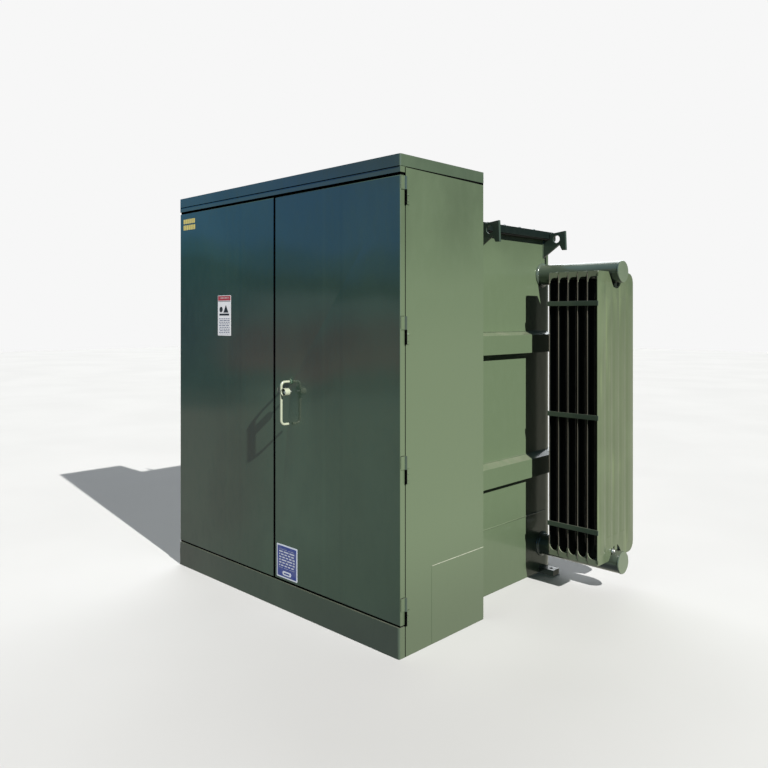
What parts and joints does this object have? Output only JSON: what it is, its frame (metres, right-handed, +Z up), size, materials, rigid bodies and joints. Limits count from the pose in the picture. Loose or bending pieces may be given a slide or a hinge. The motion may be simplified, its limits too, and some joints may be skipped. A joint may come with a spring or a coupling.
{
  "type": "pad-mounted transformer",
  "caption": "Green pad-mounted transformer with a two-door cabinet, oil tank, lifting lugs and fin radiators on both sides.",
  "frame": {"origin": "on the ground, under the middle of the whole object's box", "axes": "+Z up, -Y out of the doors, +X towards the low-voltage side"},
  "size_m": [2.366, 1.608, 2.1],
  "materials": {
    "cabinet_paint": "gloss green paint",
    "tank_paint": "gloss green paint",
    "radiator_paint": "gloss green paint",
    "handle_paint": "satin pale green paint",
    "plated_steel": "zinc plated",
    "moulded_rubber": "matt",
    "cast_epoxy": "cast epoxy with a tinned blade",
    "brass": "satin",
    "gauge_metal": "satin",
    "red_enamel": "gloss enamel",
    "core_steel": "laminated steel",
    "wound_coil": "paper wrapped winding"
  },
  "bodies": {
    "tank_and_cabinet": {"cabinet_shell": "cabinet_paint", "front_sill": "cabinet_paint", "cabinet_hood": "cabinet_paint", "compartment_barrier": "cabinet_paint", "tank_body": "tank_paint", "tank_cover": "tank_paint", "stiffener_upper": "tank_paint", "stiffener_lower": "tank_paint", "lifting_lug_front_right": "tank_paint", "lifting_lug_front_left": "tank_paint", "lifting_lug_rear_right": "tank_paint", "lifting_lug_rear_left": "tank_paint", "radiator_right_header_top": "radiator_paint", "radiator_right_header_bottom": "radiator_paint", "radiator_right_panel_1": "radiator_paint", "radiator_right_panel_2": "radiator_paint", "radiator_right_panel_3": "radiator_paint", "radiator_right_panel_4": "radiator_paint", "radiator_right_panel_5": "radiator_paint", "radiator_right_panel_6": "radiator_paint", "radiator_right_brace_top": "radiator_paint", "radiator_right_brace_middle": "radiator_paint", "radiator_right_brace_bottom": "radiator_paint", "radiator_left_header_top": "radiator_paint", "radiator_left_header_bottom": "radiator_paint", "radiator_left_panel_1": "radiator_paint", "radiator_left_panel_2": "radiator_paint", "radiator_left_panel_3": "radiator_paint", "radiator_left_panel_4": "radiator_paint", "radiator_left_panel_5": "radiator_paint", "radiator_left_panel_6": "radiator_paint", "radiator_left_brace_top": "radiator_paint", "radiator_left_brace_middle": "radiator_paint", "radiator_left_brace_bottom": "radiator_paint", "hv_bushing_1": "moulded_rubber", "hv_bushing_2": "moulded_rubber", "hv_bushing_3": "moulded_rubber", "lv_bushing_1": "cast_epoxy", "lv_bushing_2": "cast_epoxy", "lv_bushing_3": "cast_epoxy", "lv_bushing_4": "cast_epoxy", "oil_thermometer": "gauge_metal", "oil_level_gauge": "gauge_metal", "core": "core_steel", "coil_1": "wound_coil", "coil_2": "wound_coil", "coil_3": "wound_coil"},
    "lv_door": {"lv_door": "cabinet_paint"},
    "hv_door": {"hv_door": "cabinet_paint"},
    "door_handle": {"door_handle": "handle_paint"},
    "penta_bolt": {"penta_bolt": "plated_steel"},
    "latch_rod_upper": {"latch_rod_upper": "plated_steel"},
    "latch_rod_lower": {"latch_rod_lower": "plated_steel"},
    "load_break_switch_handle": {"load_break_switch_handle": "red_enamel"},
    "tap_changer_handle": {"tap_changer_handle": "moulded_rubber"},
    "drain_valve_handwheel": {"drain_valve_handwheel": "red_enamel"},
    "pressure_relief_valve": {"pressure_relief_valve": "brass"},
    "fuse_holder_1": {"fuse_holder_1": "brass"},
    "fuse_holder_2": {"fuse_holder_2": "brass"},
    "fuse_holder_3": {"fuse_holder_3": "brass"}
  },
  "joints": [
    {"name": "lv_door_hinge", "type": "hinge", "parent": "tank_and_cabinet", "child": "lv_door", "pos_m": [0.8705, -0.712, 1.07], "axis": [0, 0, 1], "range_deg": [0, 110]},
    {"name": "hv_door_hinge", "type": "hinge", "parent": "tank_and_cabinet", "child": "hv_door", "pos_m": [-0.8705, -0.712, 1.07], "axis": [0, 0, -1], "range_deg": [0, 110]},
    {"name": "handle_turn", "type": "hinge", "parent": "lv_door", "child": "door_handle", "pos_m": [0.142, -0.742, 1.11], "axis": [0, -1, 0], "range_deg": [0, 90]},
    {"name": "penta_bolt_turn", "type": "hinge", "parent": "door_handle", "child": "penta_bolt", "pos_m": [0.166, -0.782, 1.064], "axis": [0, -1, 0], "continuous": true},
    {"name": "latch_rod_upper_slide", "type": "slide", "parent": "lv_door", "child": "latch_rod_upper", "axis": [0, 0, -1], "range_m": [0, 0.0251]},
    {"name": "latch_rod_lower_slide", "type": "slide", "parent": "lv_door", "child": "latch_rod_lower", "axis": [0, 0, 1], "range_m": [0, 0.0251]},
    {"name": "fuse_1_draw", "type": "slide", "parent": "tank_and_cabinet", "child": "fuse_holder_1", "axis": [0, -1, 0], "range_m": [0, 0.24]},
    {"name": "fuse_2_draw", "type": "slide", "parent": "tank_and_cabinet", "child": "fuse_holder_2", "axis": [0, -1, 0], "range_m": [0, 0.24]},
    {"name": "fuse_3_draw", "type": "slide", "parent": "tank_and_cabinet", "child": "fuse_holder_3", "axis": [0, -1, 0], "range_m": [0, 0.24]},
    {"name": "load_break_switch_turn", "type": "hinge", "parent": "tank_and_cabinet", "child": "load_break_switch_handle", "pos_m": [-0.415, -0.1665, 0.88], "axis": [0, -1, 0], "range_deg": [0, 90]},
    {"name": "tap_changer_turn", "type": "hinge", "parent": "tank_and_cabinet", "child": "tap_changer_handle", "pos_m": [-0.2, -0.1665, 0.82], "axis": [0, -1, 0], "range_deg": [0, 144]},
    {"name": "drain_valve_turn", "type": "hinge", "parent": "tank_and_cabinet", "child": "drain_valve_handwheel", "pos_m": [0.33, -0.242, 0.214], "axis": [0, 0, 1], "range_deg": [0, 720]},
    {"name": "relief_valve_pull", "type": "slide", "parent": "tank_and_cabinet", "child": "pressure_relief_valve", "axis": [0, -1, 0], "range_m": [0, 0.008], "stiffness_N_per_m": 300}
  ],
  "couplings": [
    {"joint": "latch_rod_upper_slide", "follows": "handle_turn", "m_per_rad": 0.015915},
    {"joint": "latch_rod_lower_slide", "follows": "handle_turn", "m_per_rad": 0.015915}
  ]
}
